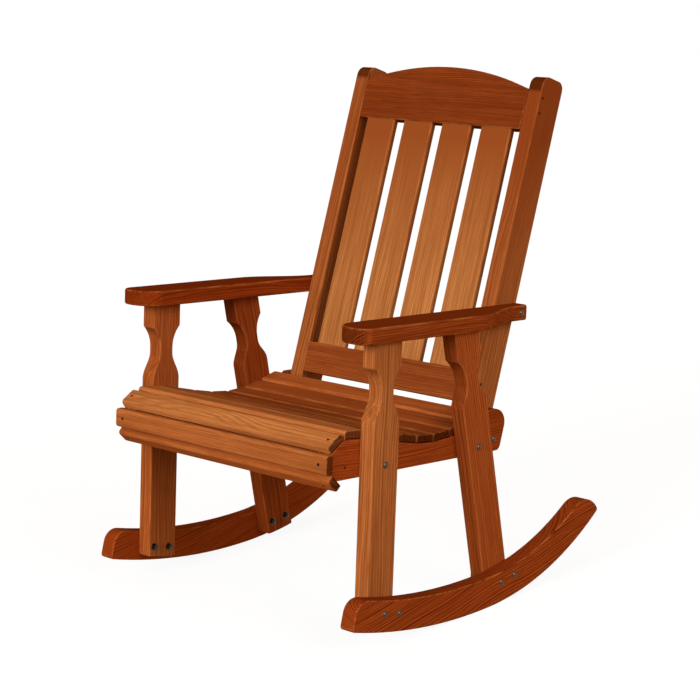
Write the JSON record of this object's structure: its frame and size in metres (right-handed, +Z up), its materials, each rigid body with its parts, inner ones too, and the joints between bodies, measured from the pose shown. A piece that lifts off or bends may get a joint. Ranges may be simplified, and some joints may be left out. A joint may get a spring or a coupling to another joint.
{
  "type": "rocking chair",
  "caption": "Slatted wooden rocking chair with a dished seat wrapped over its front edge, flat arms, waisted legs, raked back and curved rockers, held by carriage bolts.",
  "frame": {"origin": "on the floor, at the middle of the base of the bounding box, with the chair at rest on its rockers", "axes": "+X towards the sitter's left, across the chair's mirror plane; -Y towards the front of the chair; +Z up"},
  "size_m": [0.806, 0.848, 1.1388],
  "materials": {
    "stained_wood": "warm red-brown cedar stain with a low sheen, worn lighter along the edges",
    "dowel_wood": "bare pale hardwood",
    "bolt_steel": "bright zinc plate",
    "screw_steel": "dark coated steel"
  },
  "bodies": {
    "root": {"left_rocker": "stained_wood", "right_rocker": "stained_wood", "left_front_leg": "stained_wood", "right_front_leg": "stained_wood", "left_rear_leg": "stained_wood", "right_rear_leg": "stained_wood", "left_seat_rail": "stained_wood", "right_seat_rail": "stained_wood", "left_back_post": "stained_wood", "right_back_post": "stained_wood", "left_arm": "stained_wood", "right_arm": "stained_wood", "crest_rail": "stained_wood", "lower_back_rail": "stained_wood", "back_slat_1": "stained_wood", "back_slat_2": "stained_wood", "back_slat_3": "stained_wood", "back_slat_4": "stained_wood", "nose_slat_bottom": "stained_wood", "nose_slat_front": "stained_wood", "nose_slat_top": "stained_wood", "seat_slat_1": "stained_wood", "seat_slat_2": "stained_wood", "seat_slat_3": "stained_wood", "seat_slat_4": "stained_wood", "seat_slat_5": "stained_wood", "seat_slat_6": "stained_wood", "seat_slat_7": "stained_wood", "seat_slat_8": "stained_wood", "front_cross_member": "stained_wood", "rear_cross_member": "stained_wood", "rocker_bolts": "bolt_steel", "leg_bolts": "bolt_steel", "post_bolts": "bolt_steel", "arm_bolts": "bolt_steel", "nuts": "bolt_steel", "washers": "bolt_steel", "nose_screws": "screw_steel", "post_screws": "screw_steel", "frame_screws": "screw_steel", "arm_dowels": "dowel_wood", "seat_pins": "screw_steel"}
  },
  "joints": []
}
